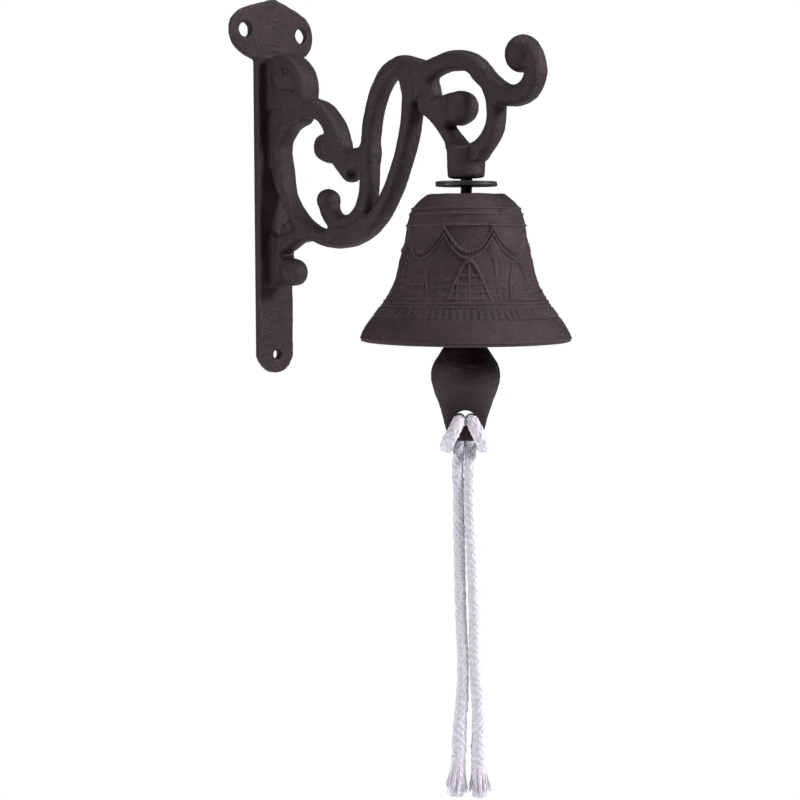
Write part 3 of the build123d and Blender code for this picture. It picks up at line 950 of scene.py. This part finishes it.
def make_link():
    """Bent wire link between the two eyes."""
    low, high = height_of("clapper_link")
    wire_r = 1.6
    half_w = 5.0
    top, foot = high - wire_r - half_w, low + wire_r + half_w
    path = []
    for t in np.linspace(0, math.pi, 40):
        path.append(on_line(0, half_w * math.cos(t), top + half_w * math.sin(t))[:])
    for t in np.linspace(math.pi, 2 * math.pi, 40):
        path.append(on_line(0, half_w * math.cos(t), foot + half_w * math.sin(t))[:])
    points, faces = wire_loop(np.array(path), wire_r * MM, 20)
    points = points + normals_of(points, faces) * (0.05 * noise(points, 2.5 * MM, 51) * MM)[:, None]
    new_piece("bent_wire_link", points, faces, BOLT_STEEL, "link", ["clapper_link"])


make_link()


# ---------------------------------------------------------------- floor, light and world

def make_floor():
    z = cad_box[0].z - 0.10
    count, radius = 96, 3.0
    rim = [(radius * math.cos(2 * math.pi * k / count), radius * math.sin(2 * math.pi * k / count), z)
           for k in range(count)]
    floor = mesh_object("floor", rim, [list(range(count))])
    material = bpy.data.materials.new("pale_floor")
    material.use_nodes = True
    tree = material.node_tree
    matt = tree.nodes["Principled BSDF"]
    matt.inputs["Base Color"].default_value = (0.92, 0.92, 0.92, 1)
    matt.inputs["Roughness"].default_value = 0.9
    white = tree.nodes.new("ShaderNodeEmission")
    seen = tree.nodes.new("ShaderNodeMixShader")
    tree.links.new(tree.nodes.new("ShaderNodeLightPath").outputs["Is Camera Ray"], seen.inputs["Fac"])
    tree.links.new(matt.outputs["BSDF"], seen.inputs[1])
    tree.links.new(white.outputs["Emission"], seen.inputs[2])
    tree.links.new(seen.outputs["Shader"], tree.nodes["Material Output"].inputs["Surface"])
    floor.data.materials.append(material)


def soft_light(name, away, size, power):
    """A square area light that faces the middle of the bell, placed from the camera's point of view."""
    right, toward, up = away
    c, s = math.cos(VIEW_TURN), math.sin(VIEW_TURN)
    centre = Vector((LINE_X * 0.7, 0, DATUM))
    data = bpy.data.lights.new(name, "AREA")
    data.shape, data.size, data.energy = "SQUARE", size, power
    light = bpy.data.objects.new(name, data)
    light.location = centre + Vector((right * c + toward * s, right * s - toward * c, up))
    light.rotation_euler = (centre - light.location).to_track_quat("-Z", "Y").to_euler()
    bpy.context.scene.collection.objects.link(light)


WORLD_LIGHT = 0.17             # what lights the object; the camera sees plain white


def make_world():
    world = bpy.data.worlds.new("studio")
    bpy.context.scene.world = world
    world.use_nodes = True
    tree = world.node_tree
    background = tree.nodes["Background"]
    background.inputs["Color"].default_value = (1, 1, 1, 1)
    seen = tree.nodes.new("ShaderNodeLightPath").outputs["Is Camera Ray"]
    strength = tree.nodes.new("ShaderNodeMapRange")
    strength.inputs["To Min"].default_value = WORLD_LIGHT
    strength.inputs["To Max"].default_value = 1.0
    tree.links.new(seen, strength.inputs["Value"])
    tree.links.new(strength.outputs["Result"], background.inputs["Strength"])


make_floor()
soft_light("key", (1.15, 0.35, 0.6), 0.40, 22)
soft_light("top", (-0.1, 0.1, 1.3), 0.5, 9)
soft_light("left", (-1.1, 0.40, 0.1), 0.40, 7)
make_world()
bpy.context.scene.view_settings.view_transform = "Standard"
